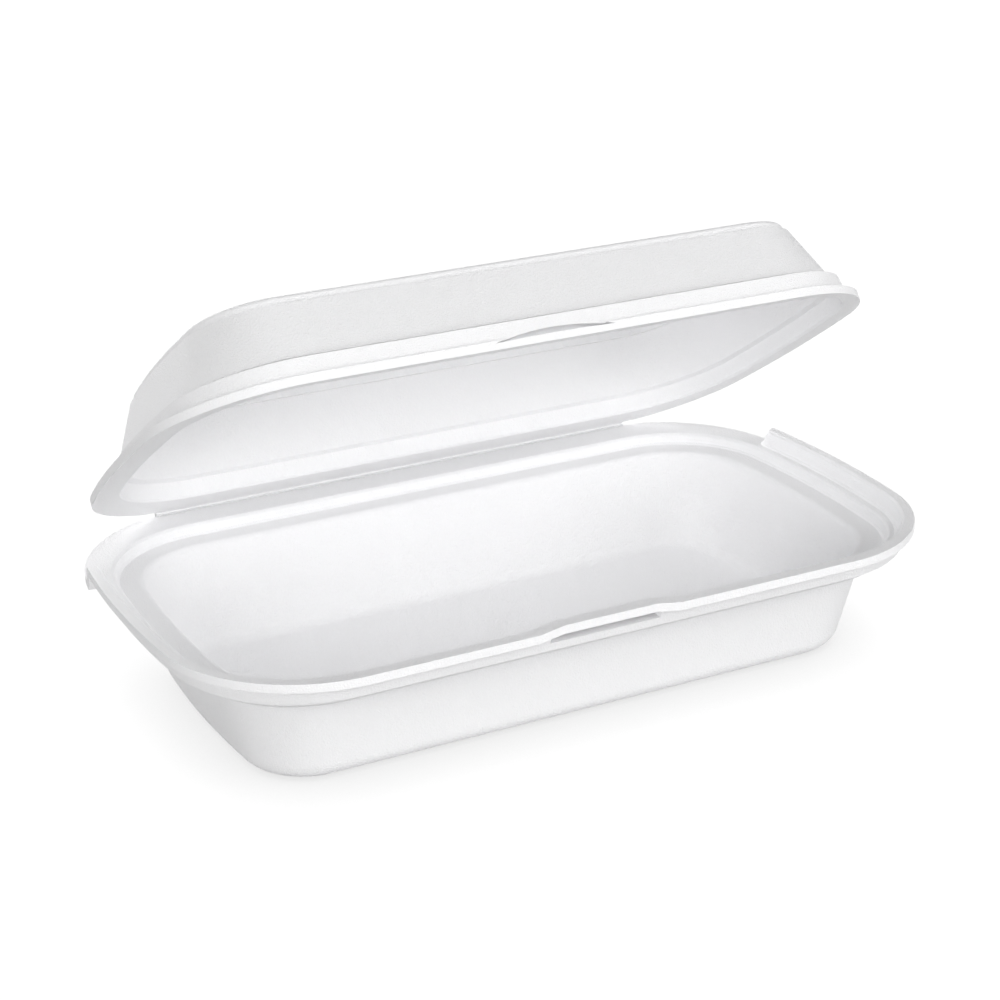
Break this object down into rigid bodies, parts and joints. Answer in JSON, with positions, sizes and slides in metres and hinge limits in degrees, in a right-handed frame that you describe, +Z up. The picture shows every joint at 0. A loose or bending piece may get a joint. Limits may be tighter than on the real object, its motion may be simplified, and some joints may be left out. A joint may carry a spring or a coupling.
{
  "type": "foam clamshell container",
  "caption": "Hinged-lid foam food container: long rectangular tray with a stepped rim and raised lip, domed lid on a creased hinge, and a tongue-and-slot lock in front.",
  "frame": {"origin": "centre of the tray's foot, on the surface that the container stands on", "axes": "+X along the length and the hinge's crease, -Y to the front where the lock is, +Z up"},
  "size_m": [0.242, 0.1466, 0.1291],
  "materials": {
    "foam": "white extruded foam sheet, thermoformed, with a fine closed-cell grain and a soft sheen"
  },
  "bodies": {
    "tray": {"tray": "foam"},
    "lid": {"lid": "foam"}
  },
  "joints": [
    {"name": "lid_hinge", "type": "hinge", "parent": "tray", "child": "lid", "pos_m": [0, 0.0748, 0.03685], "axis": [-1, 0, 0], "range_deg": [-33.4, 146.6]}
  ]
}
